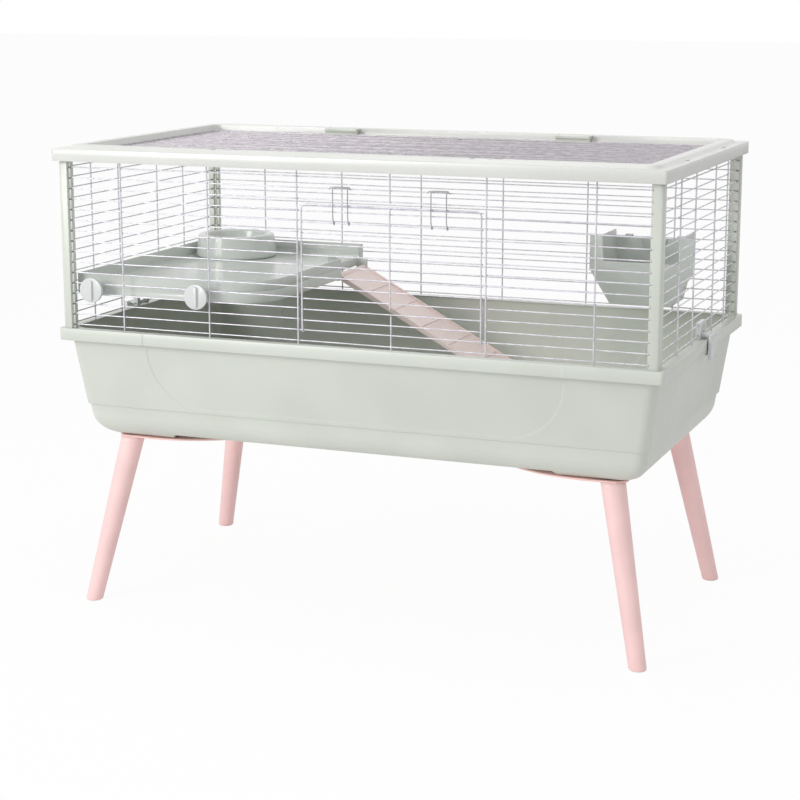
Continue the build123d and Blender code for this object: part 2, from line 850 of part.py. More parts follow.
def make_ramp():
    """Built level from its pivot, then turned down to its slope."""
    tub_floor = tub_bottom + relief_height + tub_wall
    half = ramp_thickness / 2
    drop = pivot_z - tub_floor - ramp_floor_gap - half * cos(radians(ramp_slope))
    length = drop / sin(radians(ramp_slope))
    barrel = ramp_pin_radius + ramp_fit + ramp_barrel_wall
    plank = box_between((0, length), (ramp_front, ramp_back), (-half, half))
    ramp = plank + rod_y(0, ramp_front, ramp_back, 0, barrel)
    for low in (ramp_front, ramp_back - ramp_rim_width):
        ramp += box_between((barrel, length), (low, low + ramp_rim_width), (half, half + ramp_rim_height))
    spacing = length / (ramp_rib_count + 1)
    for rib in range(1, ramp_rib_count + 1):
        x = spacing * rib
        reach = (x - ramp_rib_length / 2, x + ramp_rib_length / 2)
        ramp += box_between(reach, (ramp_front, ramp_back), (half, half + ramp_rib_height))
    ramp -= rod_y(0, ramp_front, ramp_back, 0, ramp_pin_radius + ramp_fit)
    return Pos(pivot_x, 0, pivot_z) * Rot(0, ramp_slope, 0) * ramp


def make_ramp_pin():
    return rod_y(pivot_x, ear_front, ear_back, pivot_z, ramp_pin_radius)


# Hay rack

def make_hay_rack():
    """A tapering trough with a low front, wings beside it and hooks over a row of the back panel."""
    back = row_half_depth - row_wire - rack_gap_to_wires
    front = back - rack_depth
    top = rack_bottom + rack_height
    bend = rack_bottom + rack_taper_rise
    lean = [
        (rack_half_top, top),
        (rack_half_middle, bend),
        (rack_half_bottom, rack_bottom),
    ]
    right = [(rack_x + half, z) for half, z in lean]
    left = [(rack_x - half, z) for half, z in reversed(lean)]
    body = prism_along_y(right + left, front, back)
    thin = [(half - rack_wall, z) for half, z in lean[:2]] + [(rack_half_bottom - rack_wall, rack_bottom + rack_wall)]
    right = [(rack_x + half, z) for half, z in thin]
    left = [(rack_x - half, z) for half, z in reversed(thin)]
    body -= prism_along_y(right + left, front + rack_wall, back - rack_wall)
    wide = (rack_x - rack_half_top - rack_wing, rack_x + rack_half_top + rack_wing)
    body -= box_between(wide, (front, front + rack_wall), (rack_bottom + rack_front_height, top))
    body -= box_between(wide, (back - rack_wall, back), (rack_bottom + rack_back_height, top))
    for side in (-1, 1):
        wing = [
            (rack_x + side * (rack_half_top - rack_wall), top),
            (rack_x + side * (rack_half_top + rack_wing), top),
            (rack_x + side * (rack_half_top + rack_wing), bend),
            (rack_x + side * rack_half_bottom, rack_bottom),
            (rack_x + side * (rack_half_bottom - rack_wall), rack_bottom + rack_wall),
            (rack_x + side * (rack_half_middle - rack_wall), bend),
        ]
        body += prism_along_y(wing, front, front + rack_wall)
        low = rack_x + side * rack_hook_x - rack_hook_width / 2
        across = (low, low + rack_hook_width)
        wire_z = row_heights[rack_hook_row]
        over = wire_z + row_wire + rack_hook_gap
        behind = row_half_depth + row_wire + rack_hook_gap
        body += box_between(across, (back - rack_wall, back), (rack_bottom + rack_back_height - 1, over + rack_wall))
        body += box_between(across, (back - rack_wall, behind + rack_wall), (over, over + rack_wall))
        body += box_between(across, (behind, behind + rack_wall), (wire_z - rack_hook_drop, over + rack_wall))
    tab_z = rack_bottom + rack_back_height
    disc = rod_y(rack_x, back - 2 * rack_wall, back - rack_wall, tab_z, rack_tab_radius)
    keep = (tab_z - rack_tab_radius - 1, tab_z)
    body += disc & box_between(wide, (back - 2 * rack_wall, back - rack_wall), keep)
    return body


# Side clips

clip_row_z = row_heights[-1]
holder_row_z = row_heights[-2]


def clip_span(side):
    centre = side * clip_y
    return (centre - clip_length / 2, centre + clip_length / 2)


def make_clip_holder(side):
    """A block on the two lowest rows, open in its middle for the clip's barrel."""
    span = clip_span(side)
    x = (row_half_length - holder_half_thickness, row_half_length + holder_half_thickness)
    low = clip_row_z - holder_bottom_margin
    top = holder_row_z + holder_top_margin
    holder = box_between(x, span, (low, top))
    window = (span[0] + clip_cheek, span[1] - clip_cheek)
    holder -= box_between(x, window, (low, holder_row_z - holder_bottom_margin))
    for z in (clip_row_z, holder_row_z):
        holder -= rod_y(row_half_length, span[0], span[1], z, row_wire + holder_hole_gap)
    for share in (0.25, 0.5, 0.75):
        y = span[0] + clip_length * share
        groove_y = (y - holder_groove_width / 2, y + holder_groove_width / 2)
        groove_z = (holder_row_z - holder_bottom_margin, top)
        holder -= box_between((x[1] - holder_groove_depth, x[1]), groove_y, groove_z)
    if side < 0:
        holder = mirror(holder, about=Plane.YZ)
    return holder


def make_side_clip(side):
    """A lever on the lowest row, over the rim's edge, with a catch under the skirt."""
    span = clip_span(side)
    inner = (span[0] + clip_cheek + clip_cheek_gap, span[1] - clip_cheek - clip_cheek_gap)
    bore = row_wire + hinge_clearance
    barrel = bore + clip_barrel_wall
    plate_x = (rim_length / 2 + clip_stand_off, rim_length / 2 + clip_stand_off + clip_plate_thickness)
    arm_z = (clip_row_z - clip_arm_thickness / 2, clip_row_z + clip_arm_thickness / 2)
    skirt_low = rim_top - rim_skirt
    clip = rod_y(row_half_length, inner[0], inner[1], clip_row_z, barrel)
    clip += box_between((row_half_length, plate_x[1]), inner, arm_z)
    clip += box_between(plate_x, span, (skirt_low - clip_plate_below, arm_z[1]))
    catch_z = (skirt_low - clip_catch_gap - clip_catch_thickness, skirt_low - clip_catch_gap)
    clip += box_between((rim_length / 2 - clip_catch_depth, plate_x[0]), span, catch_z)
    clip -= rod_y(row_half_length, inner[0], inner[1], clip_row_z, bore)
    if side < 0:
        clip = mirror(clip, about=Plane.YZ)
    return clip


def build():
    os.makedirs("parts", exist_ok=True)
    export(make_tray(), "tray")
    for name, (side_x, side_y) in leg_tops.items():
        export(make_leg(side_x, side_y), "leg_" + name)
        export(make_leg_bolt(side_x, side_y), "leg_bolt_" + name)
        export(make_bracket_screw(side_x, side_y), "bracket_screw_" + name)
        export(make_post(side_x, side_y), "post_" + name)
    for name, side in (("left", -1), ("right", 1)):
        export(make_leg_bracket(side), "leg_bracket_" + name)
        export(make_side_panel(side), "side_panel_" + name)
        export(make_door_latch(side), "door_latch_" + name)
        export(make_roof_hinge(side * roof_fitting_x), "roof_hinge_" + name)
        export(make_roof_tab(side * roof_fitting_x), "roof_tab_" + name)
        export(make_clip_holder(side), "clip_holder_" + name)
        export(make_side_clip(side), "side_clip_" + name)
    export(make_roof_frame(), "roof_frame")
    export(make_roof_lid(), "roof_lid")
    export(make_front_panel_left(), "front_panel_left")
    export(make_front_panel_right(), "front_panel_right")
    export(make_front_panel_top(), "front_panel_top")
    export(make_front_panel_bottom(), "front_panel_bottom")
    export(make_back_panel(), "back_panel")
    export(make_front_door(), "front_door")
    export(make_platform(), "platform")
    for name, x in zip(("left", "right"), knob_x):
        export(make_platform_knob(x), "platform_knob_" + name)
    export(make_food_bowl(), "food_bowl")
    export(make_ramp(), "ramp")
    export(make_ramp_pin(), "ramp_pin")
    export(make_hay_rack(), "hay_rack")


build()
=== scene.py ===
import bmesh
import bpy
import json
import math
import numpy as np
from mathutils import Euler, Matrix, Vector


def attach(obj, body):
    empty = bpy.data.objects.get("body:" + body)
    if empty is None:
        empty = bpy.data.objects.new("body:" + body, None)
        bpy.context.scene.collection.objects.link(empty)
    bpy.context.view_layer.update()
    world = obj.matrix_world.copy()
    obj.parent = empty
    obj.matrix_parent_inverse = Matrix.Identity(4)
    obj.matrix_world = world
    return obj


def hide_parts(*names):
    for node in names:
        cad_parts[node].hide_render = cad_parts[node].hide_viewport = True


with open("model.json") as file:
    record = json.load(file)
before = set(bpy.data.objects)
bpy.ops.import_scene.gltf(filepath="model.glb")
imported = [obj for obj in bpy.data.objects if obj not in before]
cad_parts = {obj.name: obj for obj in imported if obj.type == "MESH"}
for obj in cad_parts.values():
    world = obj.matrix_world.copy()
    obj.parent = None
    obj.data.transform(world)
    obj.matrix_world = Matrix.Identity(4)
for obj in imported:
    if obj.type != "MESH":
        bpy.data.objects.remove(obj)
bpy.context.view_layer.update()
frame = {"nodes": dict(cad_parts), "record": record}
print("packed model loaded")


# A shader value that stands in ordinary arithmetic: each operator adds its Math node.
class Sig:
    def __init__(self, finish, socket):
        self.finish = finish
        self.socket = socket

    def calc(self, operation, other=None, flipped=False):
        values = [self] if other is None else [self, other]
        if flipped:
            values.reverse()
        return self.finish.add("ShaderNodeMath", {"operation": operation}, dict(enumerate(values)))

    def __add__(self, other): return self.calc("ADD", other)
    def __radd__(self, other): return self.calc("ADD", other, True)
    def __sub__(self, other): return self.calc("SUBTRACT", other)
    def __rsub__(self, other): return self.calc("SUBTRACT", other, True)
    def __mul__(self, other): return self.calc("MULTIPLY", other)
    def __abs__(self): return self.calc("ABSOLUTE")


# One material, or the world, and its nodes. Every node comes from add().
class Finish:
    def __init__(self, name, kind="materials"):
        self.material = getattr(bpy.data, kind).new(name)
        self.material.use_nodes = True
        self.tree = self.material.node_tree
        self.tree.nodes.clear()

    def add(self, kind, settings=None, values=None, out=0):
        node = self.tree.nodes.new(kind)
        for key, value in (settings or {}).items():
            setattr(node, key, value)
        for key, value in (values or {}).items():
            if isinstance(value, Sig):
                self.tree.links.new(value.socket, node.inputs[key])
            else:
                node.inputs[key].default_value = value
        return Sig(self, node.outputs[out]) if len(node.outputs) else None

    def place(self, scale=(1, 1, 1)):                              # object coordinates, squeezed along a grain
        spot = self.add("ShaderNodeTexCoord", out="Object")
        return self.add("ShaderNodeMapping", {}, {"Vector": spot, "Scale": scale})

    def noise(self, spot, scale, detail=2.0, rough=0.5):
        values = {"Vector": spot, "Scale": scale, "Detail": detail, "Roughness": rough}
        return self.add("ShaderNodeTexNoise", {}, values)

    def smooth(self, value, low, high, start=0.0, end=1.0):        # eased step from start to end
        kind = {"interpolation_type": "SMOOTHSTEP"}
        values = {"Value": value, 1: low, 2: high, 3: start, 4: end}
        return self.add("ShaderNodeMapRange", kind, values)

    def mix(self, share, first, second):                           # colours
        kind = {"data_type": "RGBA", "blend_type": "MIX"}
        return self.add("ShaderNodeMix", kind, {0: share, 6: first, 7: second}, out=2)

    def bump(self, height, distance, strength=1.0, below=None):
        values = {"Height": height, "Distance": distance, "Strength": strength}
        if below is not None:
            values["Normal"] = below
        return self.add("ShaderNodeBump", {}, values)

    def close(self, values):
        shader = self.add("ShaderNodeBsdfPrincipled", {}, values)
        self.add("ShaderNodeOutputMaterial", {}, {"Surface": shader})
        return self.material


def shade(colour, factor):
    return tuple(min(1.0, part * factor) for part in colour[:3]) + (1.0,)


sagePlastic = {
    "colour": (0.630, 0.660, 0.600, 1.0),
    "rough": 0.34,
    "coat": 0.12,
    "coatRough": 0.16,
    "wave": 9.0,                                                   # slow unevenness of a large moulding
    "waveDepth": 0.0006,
    "waveTint": (0.972, 1.02),
    "cloud": 38.0,                                                 # faint clouds in the pigment
    "cloudTint": 0.90,
    "cloudShare": 0.10,
    "cloudRough": 0.14,
    "grain": 1400.0,                                               # eroded mould texture, cells per metre
    "grainDepth": 0.00004,
    "grainStrength": 0.55,
    "grainRough": 0.08,
}


def mouldedPlastic(name, look, outline=None):
    m = Finish(name)
    spot = m.place()
    slow = m.noise(spot, look["wave"], 1.0)
    cloudy = m.noise(spot, look["cloud"], 3.0, 0.55)
    grain = m.noise(spot, look["grain"], 1.0, 0.4)
    dark, light = look["waveTint"]
    tint = m.mix(m.smooth(slow, 0.3, 0.7), shade(look["colour"], dark), shade(look["colour"], light))
    clouds = m.smooth(cloudy, 0.62, 0.80, 0.0, look["cloudShare"])
    tint = m.mix(clouds, tint, shade(look["colour"], look["cloudTint"]))
    rough = look["rough"] + (cloudy - 0.5) * look["cloudRough"] + (grain - 0.5) * look["grainRough"]
    relief = m.bump(slow, look["waveDepth"])
    if outline:                                                    # a broad U pressed into the long faces
        x = m.add("ShaderNodeSeparateXYZ", {}, {0: spot}, "X")
        z = m.add("ShaderNodeSeparateXYZ", {}, {0: spot}, "Z")
        pastX = (abs(x) - (outline["halfWidth"] - outline["corner"])).calc("MAXIMUM", 0.0)
        pastZ = ((outline["bottom"] + outline["corner"]) - z).calc("MAXIMUM", 0.0)
        away = (pastX * pastX + pastZ * pastZ).calc("SQRT") - outline["corner"]
        pressed = m.smooth(away, -outline["blend"], outline["blend"])
        relief = m.bump(pressed, outline["depth"], 1.0, relief)
    return m.close({
        "Base Color": tint,
        "Roughness": rough,
        "Coat Weight": look["coat"],
        "Coat Roughness": look["coatRough"],
        "Specular IOR Level": 0.5,
        "Normal": m.bump(grain, look["grainDepth"], look["grainStrength"], relief),
    })


legPaint = {
    "colour": (0.945, 0.655, 0.640, 1.0),
    "rough": 0.42,
    "coat": 0.15,
    "coatRough": 0.3,
    "cloud": 22.0,
    "cloudTint": (0.965, 1.02),
    "grain": 260.0,
    "grainStretch": (1.0, 1.0, 0.045),                             # grain runs up the leg
    "grainDepth": 0.00012,
    "grainStrength": 0.6,
    "grainTint": 0.80,
    "grainShare": 0.16,
    "grainRough": 0.22,
    "speck": 520.0,                                                # small darker pores
    "speckColour": (0.62, 0.40, 0.38, 1.0),
    "speckShare": 0.30,
}


def paintedWood(name, look):
    m = Finish(name)
    plain = m.place()
    grain = m.noise(m.place(look["grainStretch"]), look["grain"], 3.0, 0.6)
    cloudy = m.noise(plain, look["cloud"], 2.0)
    specks = m.smooth(m.noise(plain, look["speck"], 1.0), 0.70, 0.76)
    dark, light = look["cloudTint"]
    tint = m.mix(m.smooth(cloudy, 0.3, 0.7), shade(look["colour"], dark), shade(look["colour"], light))
    streaks = m.smooth(grain, 0.55, 0.85, 0.0, look["grainShare"])
    tint = m.mix(streaks, tint, shade(look["colour"], look["grainTint"]))
    return m.close({
        "Base Color": m.mix(specks * look["speckShare"], tint, look["speckColour"]),
        "Roughness": look["rough"] + (grain - 0.5) * look["grainRough"],
        "Coat Weight": look["coat"],
        "Coat Roughness": look["coatRough"],
        "Normal": m.bump(grain, look["grainDepth"], look["grainStrength"]),
    })


wireCoat = {
    "colour": (0.720, 0.700, 0.760, 1.0),
    "rough": 0.27,
    "metal": 0.25,
    "metalSwing": (0.7, 1.3),
    "coat": 0.3,
    "drift": 55.0,                                                 # thick and thin places of the coat
    "driftTint": (0.88, 1.08),
    "driftRough": 0.25,
    "drops": 700.0,                                                # drips and pinholes
    "dropTint": 0.55,
    "dropShare": 0.35,
    "dropRough": 0.12,
    "dropDepth": 0.00012,
    "dropStrength": 0.5,
}


def coatedWire(name, look):
    m = Finish(name)
    spot = m.place()
    drift = m.noise(spot, look["drift"], 2.0)
    drops = m.noise(spot, look["drops"], 2.0)
    dark, light = look["driftTint"]
    tint = m.mix(m.smooth(drift, 0.3, 0.7), shade(look["colour"], dark), shade(look["colour"], light))
    marks = m.smooth(drops, 0.66, 0.78, 0.0, look["dropShare"])
    least, most = look["metalSwing"]
    return m.close({
        "Base Color": m.mix(marks, tint, shade(look["colour"], look["dropTint"])),
        "Roughness": look["rough"] + (drift - 0.5) * look["driftRough"] + (drops - 0.5) * look["dropRough"],
        "Metallic": m.smooth(drift, 0.2, 0.8, look["metal"] * least, look["metal"] * most),
        "Coat Weight": look["coat"],
        "Normal": m.bump(drops, look["dropDepth"], look["dropStrength"]),
    })


platedSteel = {
    "colour": (0.62, 0.62, 0.64, 1.0),
    "tint": (0.8, 1.1),
    "lines": 2600.0,
    "stretch": (1.0, 0.08, 1.0),
    "depth": 0.00002,
    "rough": 0.24,
    "roughSwing": 0.2,
}


def brushedSteel(name, look):
    m = Finish(name)
    lines = m.noise(m.place(look["stretch"]), look["lines"], 2.0)
    dark, light = look["tint"]
    return m.close({
        "Base Color": m.mix(lines, shade(look["colour"], dark), shade(look["colour"], light)),
        "Metallic": 1.0,
        "Roughness": look["rough"] + lines * look["roughSwing"],
        "Normal": m.bump(lines, look["depth"]),
    })


tubOutline = {"halfWidth": 0.347, "corner": 0.092, "bottom": 0.340, "blend": 0.0022, "depth": 0.0012}
fittingLook = dict(sagePlastic, colour=(0.600, 0.630, 0.595, 1.0), rough=0.20, coat=0.45, waveDepth=0.0012)
paleLook = dict(sagePlastic, colour=(0.640, 0.660, 0.655, 1.0), rough=0.26, coat=0.25)
# the roof frame is the tub's sage plastic painted lighter: a painted highlight for the stronger light near the top
roofLitLook = dict(sagePlastic, colour=(0.690, 0.700, 0.670, 1.0), rough=0.30)
rampLook = dict(sagePlastic, colour=(0.900, 0.760, 0.725, 1.0), rough=0.48, coat=0.0, grain=1100.0)
bracketLook = dict(sagePlastic, colour=(0.93, 0.62, 0.58, 1.0), rough=0.45, coat=0.05)
# a darker copy of the wire coat: painted shade for the roof wires, which stand dark against the light; the door
# latches are drawn with it too
shadedWireLook = dict(wireCoat, colour=(0.45, 0.42, 0.45, 1.0), metal=0.30)

tubPlastic = mouldedPlastic("moulded sage tub", sagePlastic, tubOutline)
sage = mouldedPlastic("moulded sage", sagePlastic)
roofLitPlastic = mouldedPlastic("moulded sage painted lit", roofLitLook)
fitting = mouldedPlastic("glossy sage fitting", fittingLook)
pale = mouldedPlastic("pale clip plastic", paleLook)
rampPlastic = mouldedPlastic("pink ramp plastic", rampLook)
bracketPlastic = mouldedPlastic("pink bracket", bracketLook)
legWood = paintedWood("pink painted wood", legPaint)
wire = coatedWire("lilac wire coat", wireCoat)
shadedWire = coatedWire("wire coat painted in shade", shadedWireLook)
steel = brushedSteel("zinc plated steel", platedSteel)
print("finishes made")


# Hands a finished mesh to the frame: its material, the node it stands for and its body.
def settle(piece, node, material):
    body = next(name for name, members in frame["record"]["behaviour"]["bodies"].items() if node in members)
    piece.data.materials.clear()
    piece.data.materials.append(material)
    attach(piece, body)
    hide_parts(node)
    return piece


def meshPiece(name, corners, faces, smoothSides=True):
    mesh = bpy.data.meshes.new(name)
    mesh.from_pydata(corners.tolist(), [], faces.tolist() if isinstance(faces, np.ndarray) else faces)
    work = bmesh.new()
    work.from_mesh(mesh)
    bmesh.ops.remove_doubles(work, verts=work.verts, dist=1e-7)
    bmesh.ops.recalc_face_normals(work, faces=work.faces)
    work.to_mesh(mesh)
    work.free()
    mesh.polygons.foreach_set("use_smooth", [smoothSides] * len(mesh.polygons))
    piece = bpy.data.objects.new(name, mesh)
    bpy.context.scene.collection.objects.link(piece)
    return piece


easing = {"mergeWithin": 2e-6, "flatUnder": 0.4, "sharpAbove": 32.0, "segments": 2}


# A copy of a moulded node with its sharp edges eased, as a mould leaves them.
def easedCopy(node, material, radius):
    mesh = frame["nodes"][node].data.copy()
    work = bmesh.new()
    work.from_mesh(mesh)
    bmesh.ops.remove_doubles(work, verts=work.verts, dist=easing["mergeWithin"])
    flat = math.radians(easing["flatUnder"])
    bmesh.ops.dissolve_limit(work, angle_limit=flat, verts=work.verts, edges=work.edges)
    work.to_mesh(mesh)
    work.free()
    mesh.polygons.foreach_set("use_smooth", [True] * len(mesh.polygons))
    piece = bpy.data.objects.new("eased_" + node, mesh)
    bpy.context.scene.collection.objects.link(piece)
    ease = piece.modifiers.new("eased edges", "BEVEL")
    ease.width = radius
    ease.segments = easing["segments"]
    ease.limit_method = "ANGLE"
    ease.angle_limit = math.radians(easing["sharpAbove"])
    ease.use_clamp_overlap = True
    ease.harden_normals = True
    return settle(piece, node, material)


mouldings = {
    "tray": (tubPlastic, "sage_plastic", 0.0009),
    "roof_frame": (roofLitPlastic, "sage_plastic", 0.0007),
    "post_front_left": (sage, "sage_plastic", 0.0004),
    "post_front_right": (sage, "sage_plastic", 0.0004),
    "post_back_left": (sage, "sage_plastic", 0.0004),
    "post_back_right": (sage, "sage_plastic", 0.0004),
    "roof_hinge_left": (sage, "sage_plastic", 0.0006),
    "roof_hinge_right": (sage, "sage_plastic", 0.0006),
    # the roof tabs take the darker glossy fitting finish: painted shade that sets them off from the frame they
    # belong to
    "roof_tab_left": (fitting, "sage_plastic", 0.0008),
    "roof_tab_right": (fitting, "sage_plastic", 0.0008),
    "platform": (fitting, "sage_fitting", 0.0010),
    "hay_rack": (fitting, "sage_fitting", 0.0006),
    "ramp": (rampPlastic, "pink_plastic", 0.0005),
    "clip_holder_left": (pale, "pale_clip", 0.0003),
    "clip_holder_right": (pale, "pale_clip", 0.0003),
    "side_clip_left": (pale, "pale_clip", 0.0005),
    "side_clip_right": (pale, "pale_clip", 0.0005),
    "leg_bracket_left": (bracketPlastic, "pink_leg", 0.0006),
    "leg_bracket_right": (bracketPlastic, "pink_leg", 0.0006),
}
for node, (material, slotName, radius) in mouldings.items():
    easedCopy(node, material, radius)
print("mouldings eased")

for node, cadPiece in frame["nodes"].items():                      # what shows of the bolts, screws and pin
    cadPiece.data.materials.clear()
    cadPiece.data.materials.append(steel)


# Quads between the rings of a grid whose points are numbered ring by ring.
def ringQuads(rings, sides, closed=False):
    i = np.arange(rings if closed else rings - 1)[:, None]
    j = np.arange(sides)[None, :]
    nextI = (i + 1) % rings
    nextJ = (j + 1) % sides
    corners = [i * sides + j, i * sides + nextJ, nextI * sides + nextJ, nextI * sides + j]
    return np.stack(corners, -1).reshape(-1, 4)


def cappedFaces(rings, sides):
    first = list(range(sides))[::-1]
    last = list(range((rings - 1) * sides, rings * sides))
    return ringQuads(rings, sides).tolist() + [first, last]


# A tube carried along a path. With t the path's direction and a fixed reference r, a point at angle
# a lies at path + radius * (cos a * u + sin a * v), where u = t x r made one long and v = t x u.
def carryTube(path, radius, sides=10, closed=False):
    if closed:
        along = np.roll(path, -1, axis=0) - np.roll(path, 1, axis=0)
    else:
        along = np.gradient(path, axis=0)
    along = along / np.linalg.norm(along, axis=1, keepdims=True)
    reference = np.array([0.29, 0.47, 0.83])
    across = np.cross(along, reference)
    across = across / np.linalg.norm(across, axis=1, keepdims=True)
    up = np.cross(along, across)
    if not closed:                                                 # two short rings close each end as a dome
        cap = radius * np.array([1.0, 0.75, 0.0])
        shift = radius * np.array([0.0, 0.55, 0.9])
        start = path[0] - along[0] * shift[::-1, None]
        end = path[-1] + along[-1] * shift[:, None]
        path = np.concatenate([start[:-1], path, end[1:]])
        across = np.concatenate([across[[0, 0]], across, across[[-1, -1]]])
        up = np.concatenate([up[[0, 0]], up, up[[-1, -1]]])
        radii = np.concatenate([cap[::-1][:-1], np.full(len(path) - 4, radius), cap[1:]])
        radii = np.maximum(radii, radius * 0.02)
    else:
        radii = np.full(len(path), radius)
    angle = np.linspace(0, 2 * np.pi, sides, endpoint=False)
    ring = np.cos(angle)[None, :, None] * across[:, None, :] + np.sin(angle)[None, :, None] * up[:, None, :]
    corners = (path[:, None, :] + radii[:, None, None] * ring).reshape(-1, 3)
    return corners, ringQuads(len(path), sides, closed)


# Weld nuggets: one squashed ball of few faces, copied to each crossing.
def weldNuggets(centres, size):
    turn = np.linspace(0, 2 * np.pi, 6, endpoint=False)
    tilt = np.radians([-90, -40, 40, 90])
    ball = np.stack([
        np.outer(np.cos(tilt), np.cos(turn)),
        np.outer(np.cos(tilt), np.sin(turn)),
        np.outer(np.sin(tilt), np.ones(len(turn))),
    ], -1).reshape(-1, 3)
    centres = np.asarray(centres, float)
    corners = (centres[:, None, :] + ball[None] * np.asarray(size)).reshape(-1, 3)
    starts = np.arange(len(centres)) * len(ball)
    faces = (ringQuads(len(tilt), len(turn))[None] + starts[:, None, None]).reshape(-1, 4)
    return corners, faces


def gather(parts):
    counts = np.cumsum([0] + [len(corners) for corners, quads in parts])
    corners = np.concatenate([corners for corners, quads in parts])
    faces = np.concatenate([quads + start for (_, quads), start in zip(parts, counts)])
    return corners, faces


# A straight wire with the slight bow of a real one: the middle wanders by two slow waves that die out
# at both ends, so each wire still meets its posts.
def straightWire(start, end, radius, sides, bow, seed, steps=40):
    share = np.linspace(0, 1, steps)
    rng = np.random.default_rng(seed)
    path = np.outer(1 - share, start) + np.outer(share, end)
    axis = int(np.argmax(np.abs(np.asarray(end, float) - start)))
    for side in {0, 1, 2} - {axis}:
        first, second = rng.uniform(-1, 1, 2)
        wave = first * np.sin(np.pi * share) + second * 0.6 * np.sin(3 * np.pi * share)
        path[:, side] += bow * wave * np.sin(np.pi * share)
    return carryTube(path, radius, sides)


# Straight runs joined by arcs: each inner corner becomes an arc of the given radius that is tangent to
# both runs, and that takes up less than half of either.
def roundedPath(points, radius, bendSteps=8, runSteps=6):
    points = np.asarray(points, float)
    most = 0.48
    path = [points[0]]
    for before, corner, after in zip(points[:-2], points[1:-1], points[2:]):
        back = np.linalg.norm(before - corner)
        ahead = np.linalg.norm(after - corner)
        first = (before - corner) / back
        second = (after - corner) / ahead
        half = 0.5 * np.arccos(np.clip(first @ second, -1, 1))
        inset = min(radius / np.tan(half), most * back, most * ahead)
        bend = inset * np.tan(half)
        middle = (first + second) / np.linalg.norm(first + second)
        centre = corner + middle * bend / np.sin(half)
        enter = corner + first * inset - centre
        leave = corner + second * inset - centre
        sweep = np.pi - 2 * half
        share = np.linspace(0, 1, bendSteps)[:, None]
        arc = centre + (np.sin((1 - share) * sweep) * enter + np.sin(share * sweep) * leave) / np.sin(sweep)
        run = np.linspace(path[-1], arc[0], runSteps)[1:-1]
        path.extend(run)
        path.extend(arc)
    path.extend(np.linspace(path[-1], points[-1], runSteps)[1:])
    return np.array(path)


wires = {
    "topRow": 0.73765, "rowPitch": 0.01685, "rowCount": 17,
    "rowRadius": 0.0010, "rowSides": 8, "rowBow": 0.00035,
    "uprightRadius": 0.00125, "uprightSides": 10, "uprightBow": 0.0002, "uprightSteps": 24, "uprightSeed": 90,
    "standOff": 0.00185,                                           # from a row's centre to an upright's
    "halfDepth": 0.258, "halfLength": 0.485, "postFace": 0.477, "sideEnd": 0.252,
    "low": 0.462, "high": 0.7485,
    "nugget": (0.0019, 0.0012, 0.0017), "nuggetShift": 0.55,       # shift: share of the stand-off
}
uprights = {
    "frontLeft": (-0.3845, -0.2320), "frontRight": 0.3920,
    "door": 0.0730, "bay": 0.3050, "stubTop": 0.5137, "overDoorDrop": 0.00125,
    "back": (-0.38125, -0.22875, -0.07625, 0.07625, 0.22875, 0.38125),
    "side": (-0.141, -0.0455, 0.088, 0.176),
}
rowHeights = wires["topRow"] - wires["rowPitch"] * np.arange(wires["rowCount"])


# One welded panel: rows along X or Y at the row plane, uprights on the outer face, or on the inner one
# where their side is -1, and a nugget at each crossing.
def wirePanel(name, node, axis, outward, span, rows, crossing, seed):
    w = wires
    plane = outward * (w["halfDepth"] if axis == 0 else w["halfLength"])
    parts = []

    def spot(along, off, z):
        return (along, plane + off, z) if axis == 0 else (plane + off, along, z)

    for number, z in enumerate(rows):
        start, end = spot(span[0], 0, z), spot(span[1], 0, z)
        parts.append(straightWire(start, end, w["rowRadius"], w["rowSides"], w["rowBow"], seed + number))
    centres = []
    for number, (along, low, high, side) in enumerate(crossing):
        off = outward * w["standOff"] * side
        parts.append(straightWire(
            spot(along, off, low), spot(along, off, high), w["uprightRadius"], w["uprightSides"],
            w["uprightBow"], seed + w["uprightSeed"] + number, w["uprightSteps"],
        ))
        crossed = [z for z in rows if low <= z <= high and span[0] < along < span[1]]
        centres += [spot(along, off * w["nuggetShift"], z) for z in crossed]
    if centres:
        long, deep, tall = w["nugget"]
        parts.append(weldNuggets(centres, (long, deep, tall) if axis == 0 else (deep, long, tall)))
    return settle(meshPiece(name, *gather(parts)), node, wire)


low, high, post = wires["low"], wires["high"], wires["postFace"]
middle = uprights["door"]
doorLeft = middle - uprights["bay"] / 2
doorRight = middle + uprights["bay"] / 2
seamLeft = doorLeft + wires["uprightRadius"]
seamRight = doorRight - wires["uprightRadius"]
leftOnes = [(x, low, high, 1) for x in uprights["frontLeft"] + (doorLeft,)]
rightOnes = [(x, low, high, 1) for x in (doorRight, uprights["frontRight"])]
overDoor = [(middle, rowHeights[3] - uprights["overDoorDrop"], high, 1)]
underDoor = [(middle, low, uprights["stubTop"], -1)]
backOnes = [(x, low, high, 1) for x in uprights["back"]]
wirePanel("wires_front_left", "front_panel_left", 0, -1, (-post, seamLeft), rowHeights, leftOnes, 100)
wirePanel("wires_front_right", "front_panel_right", 0, -1, (seamRight, post), rowHeights, rightOnes, 200)
wirePanel("wires_over_door", "front_panel_top", 0, -1, (seamLeft, seamRight), rowHeights[:4], overDoor, 300)
wirePanel("wires_under_door", "front_panel_bottom", 0, -1, (seamLeft, seamRight), rowHeights[15:], underDoor, 400)
wirePanel("wires_back", "back_panel", 0, 1, (-post, post), rowHeights, backOnes, 500)
for sideName, side in (("left", -1), ("right", 1)):
    sideOnes = [(side * y, low, high, 1) for y in uprights["side"]]
    span = (-wires["sideEnd"], wires["sideEnd"])
    wirePanel("wires_" + sideName, "side_panel_" + sideName, 1, side, span, rowHeights, sideOnes, 600 + 50 * side)
print("wire walls built")


